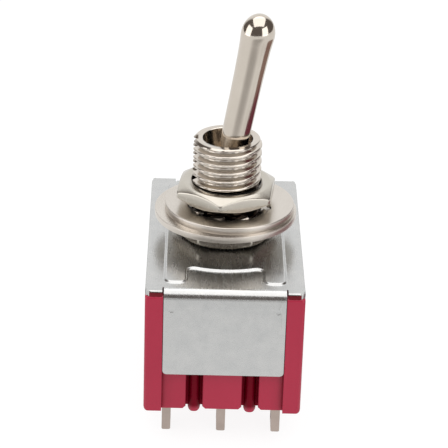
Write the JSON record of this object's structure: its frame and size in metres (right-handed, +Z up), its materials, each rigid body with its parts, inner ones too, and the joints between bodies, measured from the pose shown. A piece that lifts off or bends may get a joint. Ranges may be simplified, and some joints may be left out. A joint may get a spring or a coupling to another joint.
{
  "type": "toggle switch",
  "caption": "Miniature multi-pole toggle switch: moulded case, folded steel bracket, threaded bushing with nuts and washers, and a bat lever that throws rocker contacts.",
  "frame": {"origin": "middle of the plane of the terminal tips, straight below the bushing's axis", "axes": "+Z up the bushing towards the lever, X along the lever's throw with the lever leaning to +X at rest, Y along the row of poles"},
  "size_m": [0.0132, 0.0228, 0.035],
  "materials": {
    "case_plastic": "satin crimson moulding",
    "bracket_steel": "bright plated sheet",
    "nickel_turned": "nickel plate on turned metal",
    "nickel_washer": "nickel plate on stamped metal",
    "lever_polished": "polished nickel plate",
    "carrier_plastic": "plain moulding",
    "spring_wire": "drawn wire",
    "contact_brass": "stamped contact metal",
    "terminal_plate": "dull tin plate"
  },
  "bodies": {
    "housing": {"case": "case_plastic", "bracket": "bracket_steel", "bushing": "nickel_turned", "lower_nut": "nickel_turned", "locating_ring": "nickel_washer", "lock_washer": "nickel_washer", "upper_nut": "nickel_turned", "common_terminal_1": "terminal_plate", "common_terminal_2": "terminal_plate", "common_terminal_3": "terminal_plate", "common_terminal_4": "terminal_plate", "left_terminal_1": "terminal_plate", "left_terminal_2": "terminal_plate", "left_terminal_3": "terminal_plate", "left_terminal_4": "terminal_plate", "right_terminal_1": "terminal_plate", "right_terminal_2": "terminal_plate", "right_terminal_3": "terminal_plate", "right_terminal_4": "terminal_plate"},
    "lever": {"lever": "lever_polished", "carrier": "carrier_plastic", "spring_1": "spring_wire", "spring_2": "spring_wire", "spring_3": "spring_wire", "spring_4": "spring_wire"},
    "plunger_1": {"plunger_1": "contact_brass"},
    "plunger_2": {"plunger_2": "contact_brass"},
    "plunger_3": {"plunger_3": "contact_brass"},
    "plunger_4": {"plunger_4": "contact_brass"},
    "rocker_1": {"rocker_1": "contact_brass"},
    "rocker_2": {"rocker_2": "contact_brass"},
    "rocker_3": {"rocker_3": "contact_brass"},
    "rocker_4": {"rocker_4": "contact_brass"}
  },
  "joints": [
    {"name": "lever_tilt", "type": "hinge", "parent": "housing", "child": "lever", "pos_m": [0, 0, 0.02043], "axis": [0, 1, 0], "range_deg": [-19.5, 0]},
    {"name": "plunger_slide_1", "type": "slide", "parent": "lever", "child": "plunger_1", "axis": [0.1693, 0, 0.9856], "range_m": [0, 0.0004], "stiffness_N_per_m": 300, "springref_m": -0.001, "deforming": ["spring_1"]},
    {"name": "plunger_slide_2", "type": "slide", "parent": "lever", "child": "plunger_2", "axis": [0.1693, 0, 0.9856], "range_m": [0, 0.0004], "stiffness_N_per_m": 300, "springref_m": -0.001, "deforming": ["spring_2"]},
    {"name": "plunger_slide_3", "type": "slide", "parent": "lever", "child": "plunger_3", "axis": [0.1693, 0, 0.9856], "range_m": [0, 0.0004], "stiffness_N_per_m": 300, "springref_m": -0.001, "deforming": ["spring_3"]},
    {"name": "plunger_slide_4", "type": "slide", "parent": "lever", "child": "plunger_4", "axis": [0.1693, 0, 0.9856], "range_m": [0, 0.0004], "stiffness_N_per_m": 300, "springref_m": -0.001, "deforming": ["spring_4"]},
    {"name": "rocker_tilt_1", "type": "hinge", "parent": "housing", "child": "rocker_1", "pos_m": [0, -0.0072, 0.0072], "axis": [0, 1, 0], "range_deg": [0, 12]},
    {"name": "rocker_tilt_2", "type": "hinge", "parent": "housing", "child": "rocker_2", "pos_m": [0, -0.0024, 0.0072], "axis": [0, 1, 0], "range_deg": [0, 12]},
    {"name": "rocker_tilt_3", "type": "hinge", "parent": "housing", "child": "rocker_3", "pos_m": [0, 0.0024, 0.0072], "axis": [0, 1, 0], "range_deg": [0, 12]},
    {"name": "rocker_tilt_4", "type": "hinge", "parent": "housing", "child": "rocker_4", "pos_m": [0, 0.0072, 0.0072], "axis": [0, 1, 0], "range_deg": [0, 12]}
  ],
  "couplings": [
    {"joint": "rocker_tilt_1", "follows": "lever_tilt", "ratio": -0.61538},
    {"joint": "rocker_tilt_2", "follows": "lever_tilt", "ratio": -0.61538},
    {"joint": "rocker_tilt_3", "follows": "lever_tilt", "ratio": -0.61538},
    {"joint": "rocker_tilt_4", "follows": "lever_tilt", "ratio": -0.61538}
  ]
}
